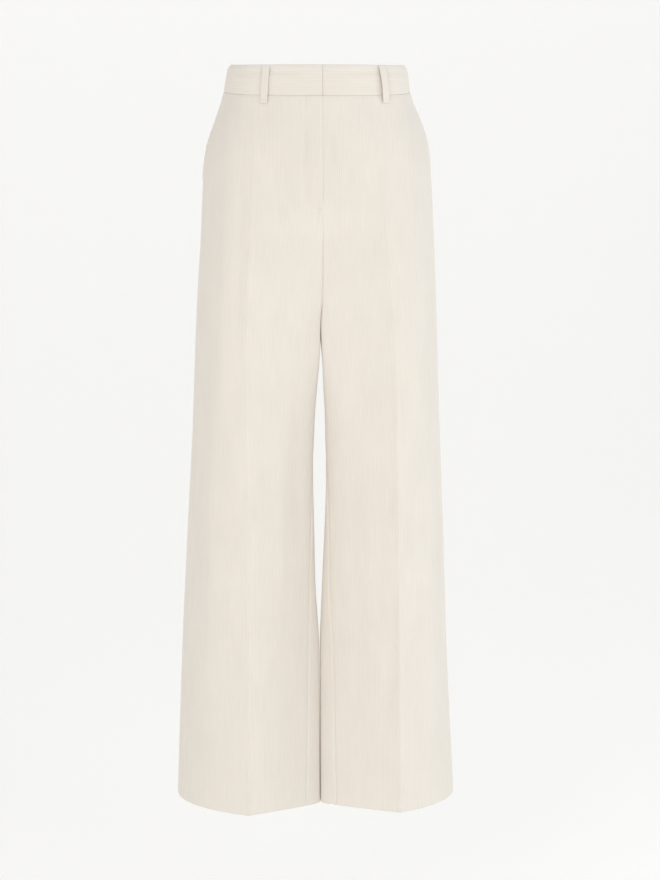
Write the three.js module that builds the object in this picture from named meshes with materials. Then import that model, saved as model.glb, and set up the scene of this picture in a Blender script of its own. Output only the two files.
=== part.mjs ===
// Wide-leg corduroy trousers with a shaped waistband, a lapped fly, slanted front pockets and
// pressed creases, filled out as when worn. Millimetres, +Z up, the front towards -Y and +X
// towards the wearer's left. The origin is the centre of the waist opening, at the height of
// its top edge at the sides, and "drop" is the distance below it.
import * as THREE from "three";

// Cloth and seams
const CLOTH = 1.5; // one layer of corduroy
const BAND_WALL = 2.8; // the waistband's two layers
const HEM_WALL = 2.8; // the leg's end, with its turn-up inside
const SEAM = 0.3; // gap between two pieces at a seam
const UNDER = CLOTH + SEAM; // how far a piece lies under one layer

// Heights, as drops below the waist
const BAND_HEIGHT = 38; // waistband at the side seams
const SEAT_SEAM_TURN = 165; // where the centre back seam starts to turn under
const FLY_BOTTOM = 203; // and the centre front seam
const FORK = 317; // where the four panels meet between the legs
const LENGTH = 1050; // outside length, waistband included
const HEM_TURN_UP = 40;

// The waist's edges dip towards centre front and rise a little towards centre back
const TOP_DIP = 2.5;
const BAND_SEAM_DIP = 6.5;
const BACK_RISE = 2;
const DIP_ENDS = 150;

// Slanted pockets and the fly
const POCKET_BOTTOM = 163;
const POCKET_TOP_PLACE = 1.8; // where the mouth meets the waistband, as a place on the ring
const FACING_RAMP = 0.22; // places over which the facing comes out level with the back
const FLY_STEP = 0.9; // the right front's edge stands out by this, the left's lies back
const FLY_REACH = 9; // how far from centre front that can be felt
const FLY_STEP_END = 25; // and the length over which it dies away at the fly's bottom
const SHIELD_RIGHT = 30; // the shield's width to each side of centre front
const SHIELD_LEFT = 10;
const SHIELD_ROUND = 40; // length of the shield's rounded lower end
const SHIELD_NARROW = 0.45; // share of its right width that is left at the bottom
const BAND_UNDERLAP = 32;
const BAND_LAP_RAMP = 9;
const BAND_EDGE = 0.5; // how far the band's top edge is rounded off

// Belt loops: where on the ring each one sits, how far its middle stands off the band, and how
// far its lower end slants sideways
const LOOP_WIDTH = 11;
const LOOP_LENGTH = 52;
const LOOP_TOP = 0.5;
const LOOP_WALL = 1.8;
const LOOP_FOLD = 6; // the doubled lower end
const LOOP_DOUBLED = 0.8; // which is this much thicker
const LOOP_STEPS = 10;
const LOOP_FULLNESS = 0.8; // a lower power makes the loop's bow squarer
const BELT_LOOPS = [
  { name: "front_right", side: "right", place: 0.87, stand: 2.2, slant: 1 },
  { name: "front_left", side: "left", place: 1.02, stand: 3, slant: 5.5 },
  { name: "back_right", side: "right", place: 2.75, stand: 2, slant: 0 },
  { name: "back_left", side: "left", place: 2.75, stand: 2, slant: 0 },
  { name: "centre_back", side: "left", place: 4, stand: 2, slant: 0 },
];

// A section at each drop is a ring of four arcs for each leg, from the centre line or inner leg
// by the front crease, the outermost point and the back crease to the centre line again. These
// tables give its points, smoothly between their rows. Lean is the slope of the cloth at the
// crease and kink how sharply it turns there, both in degrees.
const OUTLINE = [
  { drop: 0, right: 125, left: 126, y: 0 },
  { drop: 42, right: 132.5, left: 132, y: 2 },
  { drop: 82, right: 145.5, left: 147.5, y: 4 },
  { drop: 116, right: 155.5, left: 157, y: 5 },
  { drop: 163, right: 161, left: 162, y: 6 },
  { drop: 237, right: 164.5, left: 166, y: 8 },
  { drop: 307, right: 169, left: 169, y: 10 },
  { drop: 376, right: 172.5, left: 171, y: 12 },
  { drop: 526, right: 179, left: 176.5, y: 16 },
  { drop: 699, right: 188, left: 184, y: 20 },
  { drop: 814, right: 194, left: 188, y: 22 },
  { drop: 1050, right: 203, left: 200.5, y: 22 },
];
const FRONT = [
  { drop: 0, centre: 95, right: 87, left: 84, depth: 73, lean: 34, kink: 0 },
  { drop: 42, centre: 98, right: 90, left: 85, depth: 76, lean: 31, kink: 0 },
  { drop: 116, centre: 107, right: 93, left: 85, depth: 91, lean: 21, kink: 2 },
  { drop: 163, centre: 111, right: 95, left: 86, depth: 99, lean: 16, kink: 6 },
  { drop: 237, centre: 114, right: 99, left: 88, depth: 108, lean: 10, kink: 12 },
  { drop: 317, centre: 114, right: 104, left: 94, depth: 114, lean: 5, kink: 18 },
  { drop: 420, centre: 117, right: 107, left: 100, depth: 117, lean: 2, kink: 22 },
  { drop: 560, centre: 118, right: 106, left: 103, depth: 118, lean: 0, kink: 30 },
  { drop: 800, centre: 118, right: 105, left: 106, depth: 118, lean: -2, kink: 44 },
  { drop: 1050, centre: 117, right: 105, left: 108, depth: 117, lean: -2, kink: 58 },
];
const BACK = [
  { drop: 0, centre: 97, right: 87, left: 87, depth: 76, lean: 33, kink: 0 },
  { drop: 42, centre: 102, right: 89, left: 89, depth: 82, lean: 30, kink: 0 },
  { drop: 116, centre: 116, right: 93, left: 93, depth: 101, lean: 20, kink: 0 },
  { drop: 163, centre: 123, right: 96, left: 96, depth: 113, lean: 13, kink: 2 },
  { drop: 220, centre: 126, right: 99, left: 99, depth: 121, lean: 8, kink: 4 },
  { drop: 317, centre: 121, right: 103, left: 103, depth: 121, lean: 4, kink: 12 },
  { drop: 420, centre: 118, right: 104, left: 104, depth: 118, lean: 2, kink: 20 },
  { drop: 560, centre: 117, right: 104, left: 104, depth: 117, lean: 0, kink: 28 },
  { drop: 800, centre: 119, right: 104, left: 104, depth: 119, lean: -2, kink: 40 },
  { drop: 1050, centre: 121, right: 104, left: 104, depth: 121, lean: -2, kink: 52 },
];
// Right and left are how far each leg's innermost point stands from the centre line and y where
// it is. The corners are how far the cloth rounds from the front or back into that space, and
// square how tightly. Turned is how far the front corner of the left leg reaches back towards the
// centre line, for that leg is turned a little. In the table of seams, forward is how far the
// inseam lies before the innermost point and side where the side seam is, as places on the ring.
const INNER = [
  { drop: 0, right: 0.15, left: 0.15, turned: 0, y: -5, front: 0, back: 0, square: 0.8 },
  { drop: 165, right: 0.15, left: 0.15, turned: 0, y: -5, front: 0, back: 0, square: 0.8 },
  { drop: 203, right: 0.15, left: 0.15, turned: 0, y: -5, front: 0, back: 4, square: 0.8 },
  { drop: 242, right: 0.15, left: 0.15, turned: 0, y: -5, front: 5, back: 11, square: 0.7 },
  { drop: 317, right: 0.15, left: 0.15, turned: 0, y: -5, front: 14, back: 30, square: 0.5 },
  { drop: 360, right: 2.5, left: 3.5, turned: 5.3, y: -10, front: 24, back: 58, square: 0.45 },
  { drop: 400, right: 2.8, left: 7.8, turned: 7.6, y: -16, front: 32, back: 86, square: 0.4 },
  { drop: 440, right: 5.2, left: 9.8, turned: 7.2, y: -24, front: 44, back: 98, square: 0.36 },
  { drop: 497, right: 8.7, left: 12, turned: 5.8, y: -32, front: 56, back: 112, square: 0.33 },
  { drop: 570, right: 10.4, left: 11.8, turned: 3.7, y: -36, front: 64, back: 128, square: 0.3 },
  { drop: 642, right: 8.6, left: 9, turned: 2.1, y: -36, front: 70, back: 144, square: 0.28 },
  { drop: 728, right: 6.6, left: 4.8, turned: 1.4, y: -36, front: 74, back: 153, square: 0.25 },
  { drop: 830, right: 0.8, left: 0.7, turned: 0, y: -40, front: 78, back: 155, square: 0.22 },
  { drop: 1050, right: 0.6, left: 0.6, turned: 0, y: -50, front: 67, back: 156, square: 0.2 },
];
const SEAMS = [
  { drop: 0, forward: 0, side: 2.1 },
  { drop: 165, forward: 0, side: 2.08 },
  { drop: 203, forward: 0, side: 2.06 },
  { drop: 242, forward: 0, side: 2.03 },
  { drop: 317, forward: 0, side: 1.98 },
  { drop: 360, forward: 0.03, side: 1.96 },
  { drop: 400, forward: 0.08, side: 1.94 },
  { drop: 440, forward: 0.12, side: 1.92 },
  { drop: 497, forward: 0.16, side: 1.88 },
  { drop: 570, forward: 0.2, side: 1.84 },
  { drop: 642, forward: 0.22, side: 1.81 },
  { drop: 728, forward: 0.24, side: 1.78 },
  { drop: 830, forward: 0.26, side: 1.76 },
  { drop: 1050, forward: 0.28, side: 1.76 },
];
const FOLDED = 15; // depth of the fold past which its corner is fully formed
const STRAIGHT_PLACES = 0.25; // places kept for the straight stretch inside the fold
const LEAST_STRAIGHT = 0.2; // and the least share of the ring's inner stretch that they cover
const NEAR = 0.02; // a place close beside the centre line, where distances round it are measured
const DEGREE = Math.PI / 180;

// Rows of every panel, close together where the crotch seam turns under
const PANEL_ROWS = [
  38.15, 58, 80, 102, 124, 143, 158, 164, 184, 203, 242, 273, 295, 307, 313, 316, 317, 326, 342,
  368, 400, 440, 485, 535, 590, 645, 700, 760, 820, 880, 945, 1009, 1011, 1050,
];
const BAND_ROWS = [0, 3, 20, 37.85];
const PANEL_COLUMNS = { centre: 8, side: 6 }; // from the crease to the centre, and to the side
const BAND_COLUMNS = { centre: 5, side: 5 };
const SHIELD_ROWS = [38.15, 70, 102, 134, 163, 184, 198];
const FACING_ROWS = PANEL_ROWS.filter((drop) => drop < POCKET_BOTTOM - 3);

const smooth = (t) => THREE.MathUtils.smoothstep(t, 0, 1);
const mix = THREE.MathUtils.lerp;

// A curve through one column of a table that never overshoots its rows.
function read(table, column, drop) {
  const last = table.length - 1;
  if (drop <= table[0].drop) return table[0][column];
  if (drop >= table[last].drop) return table[last][column];
  const at = table.findIndex((row) => row.drop > drop) - 1;
  const rise = (k) =>
    (table[k + 1][column] - table[k][column]) / (table[k + 1].drop - table[k].drop);
  const slope = (k) => {
    if (k === 0) return rise(0);
    if (k === last) return rise(last - 1);
    const [before, after] = [rise(k - 1), rise(k)];
    return before * after <= 0 ? 0 : (2 * before * after) / (before + after);
  };
  const step = table[at + 1].drop - table[at].drop;
  const t = (drop - table[at].drop) / step;
  return (
    (1 + 2 * t) * (1 - t) ** 2 * table[at][column] +
    t * (1 - t) ** 2 * step * slope(at) +
    t * t * (3 - 2 * t) * table[at + 1][column] +
    t * t * (t - 1) * step * slope(at + 1)
  );
}

// Where the ring starts at the centre line: on the centre seam, on the curve by which that seam
// turns under to the fork, or on the inner leg below it. The cloth runs straight on from there
// to the corner, where it rounds into the front or back. Facing is -1 in front and 1 behind.
function centreStart(side, drop, inset, facing) {
  const table = facing < 0 ? FRONT : BACK;
  const turn = facing < 0 ? FLY_BOTTOM : SEAT_SEAM_TURN;
  const centre = read(table, "centre", drop);
  const fork = facing * read(INNER, "y", drop);
  const under = THREE.MathUtils.clamp((drop - turn) / (FORK - turn), 0, 1);
  const fold = (centre - fork) * (1 - Math.sqrt(1 - under ** 2));
  const corner = Math.min(fold, read(INNER, facing < 0 ? "front" : "back", drop));
  const x = read(INNER, side, drop) + Math.min(inset, fold);
  const turned = facing < 0 && side === "left" ? read(INNER, "turned", drop) : 0;
  return {
    at: new THREE.Vector2(x, facing * Math.min(centre - fold, centre - inset)),
    corner: new THREE.Vector2(
      x - turned,
      facing * Math.min(centre - corner, centre - inset),
    ),
    depth: Math.max(corner - inset, 0),
    folded: smooth(fold / FOLDED),
  };
}

// The crease of one leg, with the directions of the cloth towards and away from the centre.
function creasePoint(side, drop, inset, facing) {
  const table = facing < 0 ? FRONT : BACK;
  const lean = read(table, "lean", drop) * DEGREE;
  const half = (read(table, "kink", drop) * DEGREE) / 2;
  const out = inset / Math.cos(half);
  const depth = read(table, "depth", drop);
  return {
    at: new THREE.Vector2(
      read(table, side, drop) - out * Math.sin(lean),
      facing * (depth - out * Math.cos(lean)),
    ),
    inward: new THREE.Vector2(-Math.cos(lean - half), facing * Math.sin(lean - half)),
    outward: new THREE.Vector2(Math.cos(lean + half), -facing * Math.sin(lean + half)),
  };
}

// The handle of a cubic arc between two points, round through an angle.
function handle(from, to, angle) {
  const turn = Math.max(Math.abs(angle), 0.01);
  return (from.distanceTo(to) * (2 / 3) * Math.tan(turn / 4)) / Math.sin(turn / 2);
}

// The two stretches of the ring in front or behind: centre to crease, and crease to outermost.
function halfRing(side, drop, inset, facing) {
  const start = centreStart(side, drop, inset, facing);
  const crease = creasePoint(side, drop, inset, facing);
  const square = read(INNER, "square", drop);
  const across = crease.at.x - start.corner.x;
  const flat = handle(start.corner, crease.at, Math.asin(crease.inward.y * facing));
  const startHandle = new THREE.Vector2(
    flat * (1 - start.folded),
    facing * square * start.depth * start.folded,
  );
  const outermost = new THREE.Vector2(
    read(OUTLINE, side, drop) - inset,
    read(OUTLINE, "y", drop),
  );
  const reach = handle(crease.at, outermost, Math.acos(Math.abs(crease.outward.y)));
  const inner = new THREE.CurvePath();
  if (start.at.distanceTo(start.corner) > 0)
    inner.add(new THREE.LineCurve(start.at, start.corner));
  inner.add(
    new THREE.CubicBezierCurve(
      start.corner,
      start.corner.clone().add(startHandle),
      crease.at.clone().addScaledVector(crease.inward, mix(flat, square * across, start.folded)),
      crease.at,
    ),
  );
  const outer = new THREE.CubicBezierCurve(
    crease.at,
    crease.at.clone().addScaledVector(crease.outward, reach),
    new THREE.Vector2(outermost.x, outermost.y + facing * reach),
    outermost,
  );
  const straight = start.at.distanceTo(start.corner) / inner.getLength();
  return { inner, outer, straight: Math.max(straight, LEAST_STRAIGHT) };
}

const rings = new Map();

// Both halves of a ring, kept once they are made.
function ring(side, drop, inset) {
  const key = [side, drop, inset].join();
  if (!rings.has(key))
    rings.set(key, [halfRing(side, drop, inset, -1), halfRing(side, drop, inset, 1)]);
  return rings.get(key);
}

// A point between the centre line, at place 0, and the crease, at place 1.
function innerPoint(half, place) {
  const past = (place - STRAIGHT_PLACES) / (1 - STRAIGHT_PLACES);
  const share = past < 0 ? (place / STRAIGHT_PLACES) * half.straight : mix(half.straight, 1, past);
  return half.inner.getPoint(share);
}

// A point of the ring in its own plane. Place 0 is the front centre line or inner leg, 1 the
// front crease, 2 the outermost point, 3 the back crease and 4 the centre line or inner leg
// again; below 0 it goes on across the centre line and past 4 into the front arc.
function ringPoint(side, drop, inset, place) {
  if (place < 0) {
    const across = ringPoint(side === "right" ? "left" : "right", drop, inset, -place);
    return new THREE.Vector2(-across.x, across.y);
  }
  if (place > 4) return ringPoint(side, drop, inset, place - 4);
  const [front, back] = ring(side, drop, inset);
  if (place <= 1) return innerPoint(front, place);
  if (place <= 2) return front.outer.getPoint(place - 1);
  if (place <= 3) return back.outer.getPoint(3 - place);
  return innerPoint(back, 4 - place);
}

// How far a place moves for a millimetre along the ring.
function placePerMm(side, drop, place) {
  const step = 0.01;
  const before = ringPoint(side, drop, 0, Math.max(place - step, 0));
  return (place - Math.max(place - step, 0)) / ringPoint(side, drop, 0, place).distanceTo(before);
}

// The height of a place, with the dip of the waist.
function height(drop, place) {
  const round = THREE.MathUtils.clamp(Math.abs(place), 0, 4);
  const edge = mix(TOP_DIP, BAND_SEAM_DIP, Math.min(drop / BAND_HEIGHT, 1));
  const shape = round < 2 ? edge * (1 - (round / 2) ** 3) : -BACK_RISE * smooth((round - 2) / 2);
  const fade = 1 - smooth((drop - BAND_HEIGHT) / (DIP_ENDS - BAND_HEIGHT));
  return -drop - shape * fade;
}

const toward = { right: -1, left: 1 };

// A point of the cloth in the part's frame, outside at inset 0.
function clothPoint(side, drop, place, inset) {
  const flat = ringPoint(side, drop, inset, place);
  return new THREE.Vector3(toward[side] * flat.x, flat.y, height(drop, place));
}

// A closed wall between an outer and an inner grid of points, as a geometry whose faces point
// out. Point(row, column, layer) gives them, and mirrored turns the faces round.
function wall(rows, columns, point, mirrored) {
  const positions = [];
  const triangles = [];
  for (const layer of [0, 1])
    for (let i = 0; i < rows; i++)
      for (let j = 0; j < columns; j++) positions.push(...point(i, j, layer).toArray());
  const index = (i, j, layer) => (layer * rows + i) * columns + j;
  const quad = (a, b, c, d) =>
    triangles.push(...(mirrored ? [a, c, b, a, d, c] : [a, b, c, a, c, d]));
  for (let i = 0; i + 1 < rows; i++)
    for (let j = 0; j + 1 < columns; j++) {
      quad(index(i, j, 0), index(i + 1, j, 0), index(i + 1, j + 1, 0), index(i, j + 1, 0));
      quad(index(i, j, 1), index(i, j + 1, 1), index(i + 1, j + 1, 1), index(i + 1, j, 1));
    }
  for (let i = 0; i + 1 < rows; i++) {
    const last = columns - 1;
    quad(index(i, 0, 0), index(i, 0, 1), index(i + 1, 0, 1), index(i + 1, 0, 0));
    quad(index(i, last, 0), index(i + 1, last, 0), index(i + 1, last, 1), index(i, last, 1));
  }
  for (let j = 0; j + 1 < columns; j++) {
    const last = rows - 1;
    quad(index(0, j, 0), index(0, j + 1, 0), index(0, j + 1, 1), index(0, j, 1));
    quad(index(last, j, 0), index(last, j, 1), index(last, j + 1, 1), index(last, j + 1, 0));
  }
  return new THREE.BufferGeometry()
    .setAttribute("position", new THREE.Float32BufferAttribute(positions, 3))
    .setIndex(triangles);
}

// Places for the columns of a panel: some up to the crease, and the rest past it.
function places(from, crease, to, before, after) {
  const list = [];
  for (let j = 0; j < before; j++) list.push(mix(from, crease, j / before));
  for (let j = 0; j <= after; j++) list.push(mix(crease, to, j / after));
  return list;
}

const sideSeam = (drop) => read(SEAMS, "side", drop);

// The pocket's mouth, from the waistband to the side seam.
function pocketMouth(drop) {
  const down = (drop - BAND_HEIGHT) / (POCKET_BOTTOM - BAND_HEIGHT);
  return mix(POCKET_TOP_PLACE, sideSeam(POCKET_BOTTOM), Math.min(down, 1));
}

const wallAt = (drop) => (drop > LENGTH - HEM_TURN_UP ? HEM_WALL : CLOTH);

// The right front laps over the left at the fly, so its edge stands out and the left's lies back.
function flyStep(side, drop, x) {
  const fade = 1 - smooth((drop - FLY_BOTTOM) / FLY_STEP_END + 1);
  return toward[side] * FLY_STEP * Math.exp(-((x / FLY_REACH) ** 2)) * fade;
}

// Places of the front panel's columns, from the centre seam or inseam to the pocket's mouth and
// below that to the side seam.
function frontPlaces(side, drop) {
  const seam = SEAM / 2;
  const inseam = read(SEAMS, "forward", drop);
  const from = drop < FORK ? 0 : inseam + seam * placePerMm(side, drop, inseam + NEAR);
  const end = Math.min(pocketMouth(drop), sideSeam(drop));
  const to = end - seam * placePerMm(side, drop, end);
  return places(from, 1, to, PANEL_COLUMNS.centre, PANEL_COLUMNS.side);
}

function frontPanel(side) {
  const grid = PANEL_ROWS.map((drop) => frontPlaces(side, drop));
  const point = (i, j, layer) => {
    const drop = PANEL_ROWS[i];
    const at = clothPoint(side, drop, grid[i][j], layer * wallAt(drop));
    at.y += flyStep(side, drop, at.x);
    return at;
  };
  return wall(PANEL_ROWS.length, grid[0].length, point, side === "right");
}

function backPanel(side) {
  const grid = PANEL_ROWS.map((drop) => {
    const seam = SEAM / 2;
    const start = sideSeam(drop);
    const from = start + seam * placePerMm(side, drop, start);
    const inseam = read(SEAMS, "forward", drop);
    const to = drop < FORK ? 4 : 4 + inseam - seam * placePerMm(side, drop, 4);
    return places(from, 3, to, PANEL_COLUMNS.side, PANEL_COLUMNS.centre);
  });
  const point = (i, j, layer) => {
    const drop = PANEL_ROWS[i];
    return clothPoint(side, drop, grid[i][j], layer * wallAt(drop));
  };
  return wall(PANEL_ROWS.length, grid[0].length, point, side === "right");
}

// The facing lies under the front's last columns at the pocket's mouth, and comes out level
// with the back panel towards the side seam.
function pocketFacing(side) {
  const shares = [0.1, 0.4, 0.7, 1]; // of the way from the mouth to the side seam
  const grid = FACING_ROWS.map((drop) => {
    const hidden = frontPlaces(side, drop).slice(-2);
    const end = sideSeam(drop) - (SEAM / 2) * placePerMm(side, drop, sideSeam(drop));
    const shown = shares.map((share) => mix(pocketMouth(drop), end, share));
    return [...hidden, ...shown];
  });
  const point = (i, j, layer) => {
    const drop = FACING_ROWS[i];
    const place = grid[i][j];
    const out = smooth((place - grid[i][2]) / FACING_RAMP);
    return clothPoint(side, drop, place, UNDER * (1 - out) + layer * CLOTH);
  };
  return wall(FACING_ROWS.length, grid[0].length, point, side === "right");
}

// The strip behind the fly, from the waistband to the fly's rounded end.
function flyShield() {
  const columns = 6;
  const last = SHIELD_ROWS[SHIELD_ROWS.length - 1];
  const outer = UNDER + FLY_STEP + SEAM;
  const point = (i, j, layer) => {
    const drop = SHIELD_ROWS[i];
    const narrow = mix(1, SHIELD_NARROW, smooth((drop - last) / SHIELD_ROUND + 1));
    const x = mix(-SHIELD_RIGHT * narrow, SHIELD_LEFT, j / (columns - 1));
    const side = x < 0 ? "right" : "left";
    const place = Math.abs(x) * placePerMm(side, drop, NEAR);
    return clothPoint(side, drop, place, outer + layer * CLOTH);
  };
  return wall(SHIELD_ROWS.length, columns, point, false);
}

// Half of the waistband. The left one goes on under the right one at centre front.
function waistband(side) {
  const perMm = placePerMm(side, 0, NEAR);
  const ramp = BAND_LAP_RAMP * perMm;
  const underlap = [-BAND_UNDERLAP, -BAND_UNDERLAP / 2, -SEAM / 2].map((mm) => mm * perMm);
  const { centre, side: outer } = BAND_COLUMNS;
  const list = [
    ...(side === "left" ? [...underlap, ramp / 2] : []),
    ...places(side === "left" ? ramp : 0, 1, 2, centre, outer),
    ...places(2, 3, 4, outer, centre).slice(1),
  ];
  const point = (i, j, layer) => {
    const tucked = side === "left" ? 1 - smooth(list[j] / ramp) : 0;
    const rounded = i === 0 ? mix(BAND_EDGE, -BAND_EDGE, layer) : 0;
    const inset = tucked * (BAND_WALL + 2 * SEAM) + layer * BAND_WALL + rounded;
    return clothPoint(side, BAND_ROWS[i], list[j], inset);
  };
  return wall(BAND_ROWS.length, list.length, point, side === "right");
}

// A strip that stands off the waistband, with its lower end doubled.
function beltLoop({ side, place, stand, slant }) {
  const across = clothPoint(side, BAND_HEIGHT / 2, place, 0)
    .sub(clothPoint(side, BAND_HEIGHT / 2, place - 2 * NEAR, 0))
    .setZ(0)
    .normalize();
  const out = new THREE.Vector3(across.y, -across.x, 0).multiplyScalar(toward[side]);
  const point = (i, j, layer) => {
    const along = i / (LOOP_STEPS - 1);
    const drop = mix(LOOP_TOP, LOOP_LENGTH, along);
    const doubled = drop > LOOP_LENGTH - LOOP_FOLD ? LOOP_DOUBLED : 0;
    const off = SEAM + stand * Math.sin(Math.PI * along) ** LOOP_FULLNESS;
    return clothPoint(side, drop, place, 0)
      .addScaledVector(out, off + (layer ? 0 : LOOP_WALL + doubled))
      .addScaledVector(across, (j - 0.5) * LOOP_WIDTH + slant * (along - 0.5));
  };
  return wall(LOOP_STEPS, 2, point, side === "right");
}

const CORDUROY = { color: 0xebe4da, roughness: 0.95, metalness: 0 };
const trousers = new THREE.Group();

function add(name, geometry) {
  const mesh = new THREE.Mesh(geometry, new THREE.MeshStandardMaterial(CORDUROY));
  mesh.name = name;
  trousers.add(mesh);
}

for (const side of ["right", "left"]) {
  add("front_" + side, frontPanel(side));
  add("back_" + side, backPanel(side));
  add("pocket_facing_" + side, pocketFacing(side));
  add("waistband_" + side, waistband(side));
}
add("fly_shield", flyShield());
for (const loop of BELT_LOOPS) add("belt_loop_" + loop.name, beltLoop(loop));

export default trousers;
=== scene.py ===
# %% [markdown]
# # Corduroy trousers
# These trousers are cut from fourteen pieces of corduroy, a cloth whose pile stands in ridges
# called wales. Each piece is built here as a thin shell on the solid that holds its place, with
# real wales, seams, soft folds and pressed creases. The trousers are filled out as when worn,
# and their waist and legs are open.

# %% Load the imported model
import math

import bmesh
import bpy
import numpy as np
from mathutils import Matrix, Vector


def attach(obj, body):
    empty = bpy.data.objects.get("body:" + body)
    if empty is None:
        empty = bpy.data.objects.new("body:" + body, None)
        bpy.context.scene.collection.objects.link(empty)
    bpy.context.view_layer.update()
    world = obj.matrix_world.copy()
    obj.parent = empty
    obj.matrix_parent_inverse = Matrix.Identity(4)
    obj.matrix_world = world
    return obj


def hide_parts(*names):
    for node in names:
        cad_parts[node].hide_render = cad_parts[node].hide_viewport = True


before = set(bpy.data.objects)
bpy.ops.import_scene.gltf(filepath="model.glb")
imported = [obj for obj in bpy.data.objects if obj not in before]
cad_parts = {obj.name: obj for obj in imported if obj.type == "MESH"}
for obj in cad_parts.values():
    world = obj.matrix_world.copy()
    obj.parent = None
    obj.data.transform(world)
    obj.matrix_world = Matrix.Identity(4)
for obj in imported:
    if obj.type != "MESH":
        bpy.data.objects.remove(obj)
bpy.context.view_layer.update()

# %% [markdown]
# ## Sizes
# Cloth is measured in millimetres, as a cutter does, and each point is turned to metres when it
# is placed. "Drop" is the distance below the waist. The drops of the fork, the fly and the
# pockets are the same ones that the solids have.

# %% Sizes
MM = 0.001
CLOTH = 1.5  # one layer of corduroy
BAND_WALL = 2.8  # the waistband's two layers
HEM_WALL = 2.8  # the leg's end with its turn-up
SEAM = 0.3  # gap between two pieces that lie on each other
CLOSED = 0.04  # how far each piece stops short of a sewn seam
UNDER = CLOTH + SEAM  # how far a piece lies under one layer
BAND_HEIGHT = 38
SEAT_SEAM_TURN = 165  # drop where the centre back seam starts to turn under
FLY_BOTTOM = 203  # and where the centre front seam does
FORK = 317  # drop where the legs part
LENGTH = 1050
HEM_TURN_UP = 40
TOP_DIP = 2.5  # how far the band's top edge dips at the front
BAND_SEAM_DIP = 6.5  # and the seam under it
BACK_RISE = 2
DIP_ENDS = 150
POCKET_BOTTOM = 163
POCKET_TOP_PLACE = 1.8  # where the pocket's mouth meets the band
FLY_UNDERLAP = 3  # how far the left front runs on under the right one
FLY_STEP = 0.5  # the right front stands out by this at its edge, the left lies back
FLY_REACH = 9  # how far from that edge the step is felt
FLY_STEP_END = 25  # length over which it dies away at the fly's lower end
FOLDED = 15  # a fold this deep is a full turn of the cloth
STRAIGHT_PLACES = 0.25  # place where the straight stretch from the centre line ends
LEAST_STRAIGHT = 0.2  # and the least share of the way to the crease that it takes
WALE_PITCH = 2.8
WALE_HEIGHT = 0.2
STEP = WALE_PITCH / 3  # between two columns of points

# %% [markdown]
# ## The form of the cloth
# A section through the trousers at any drop is a ring for each leg: from the centre line or the
# inner leg, by the front crease, the outermost point and the back crease, to the centre again.
# A few measured sections are enough when the values between them are read from a smooth curve,
# just as a tailor's chart gives a few girths. These tables say the same as the solids do.


# %% The measured sections
def table(columns, *rows):
    return {name: np.array(column, float) for name, column in zip(columns.split(), zip(*rows))}


OUTLINE = table(
    "drop right left y",
    (0, 125, 126, 0),
    (42, 132.5, 132, 2),
    (82, 145.5, 147.5, 4),
    (116, 155.5, 157, 5),
    (163, 161, 162, 6),
    (237, 164.5, 166, 8),
    (307, 169, 169, 10),
    (376, 172.5, 171, 12),
    (526, 179, 176.5, 16),
    (699, 188, 184, 20),
    (814, 194, 188, 22),
    (1050, 203, 200.5, 22),
)
FRONT = table(
    "drop centre right left depth lean kink",
    (0, 95, 87, 84, 73, 34, 0),
    (42, 98, 90, 85, 76, 31, 0),
    (116, 107, 93, 85, 91, 21, 2),
    (163, 111, 95, 86, 99, 16, 6),
    (237, 114, 99, 88, 108, 10, 12),
    (317, 114, 104, 94, 114, 5, 18),
    (420, 117, 107, 100, 117, 2, 22),
    (560, 118, 106, 103, 118, 0, 30),
    (800, 118, 105, 106, 118, -2, 44),
    (1050, 117, 105, 108, 117, -2, 58),
)
BACK = table(
    "drop centre right left depth lean kink",
    (0, 97, 87, 87, 76, 33, 0),
    (42, 102, 89, 89, 82, 30, 0),
    (116, 116, 93, 93, 101, 20, 0),
    (163, 123, 96, 96, 113, 13, 2),
    (220, 126, 99, 99, 121, 8, 4),
    (317, 121, 103, 103, 121, 4, 12),
    (420, 118, 104, 104, 118, 2, 20),
    (560, 117, 104, 104, 117, 0, 28),
    (800, 119, 104, 104, 119, -2, 40),
    (1050, 121, 104, 104, 121, -2, 52),
)
INNER = table(
    "drop right left turned y front back square",
    (0, 0.15, 0.15, 0, -5, 0, 0, 0.8),
    (165, 0.15, 0.15, 0, -5, 0, 0, 0.8),
    (203, 0.15, 0.15, 0, -5, 0, 4, 0.8),
    (242, 0.15, 0.15, 0, -5, 5, 11, 0.7),
    (317, 0.15, 0.15, 0, -5, 14, 30, 0.5),
    (360, 2.5, 3.5, 5.3, -10, 24, 58, 0.45),
    (400, 2.8, 7.8, 7.6, -16, 32, 86, 0.4),
    (440, 5.2, 9.8, 7.2, -24, 44, 98, 0.36),
    (497, 8.7, 12, 5.8, -32, 56, 112, 0.33),
    (570, 10.4, 11.8, 3.7, -36, 64, 128, 0.3),
    (642, 8.6, 9, 2.1, -36, 70, 144, 0.28),
    (728, 6.6, 4.8, 1.4, -36, 74, 153, 0.25),
    (830, 0.8, 0.7, 0, -40, 78, 155, 0.22),
    (1050, 0.6, 0.6, 0, -50, 67, 156, 0.2),
)
SEAMS = table(
    "drop forward side",
    (0, 0, 2.1),
    (165, 0, 2.08),
    (203, 0, 2.06),
    (242, 0, 2.03),
    (317, 0, 1.98),
    (360, 0.03, 1.96),
    (400, 0.08, 1.94),
    (440, 0.12, 1.92),
    (497, 0.16, 1.88),
    (570, 0.2, 1.84),
    (642, 0.22, 1.81),
    (728, 0.24, 1.78),
    (830, 0.26, 1.76),
    (1050, 0.28, 1.76),
)


# %% Reading between the sections
def smooth(t):
    t = np.clip(t, 0, 1)
    return t * t * (3 - 2 * t)


def mix(a, b, t):
    return a + (b - a) * t


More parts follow.
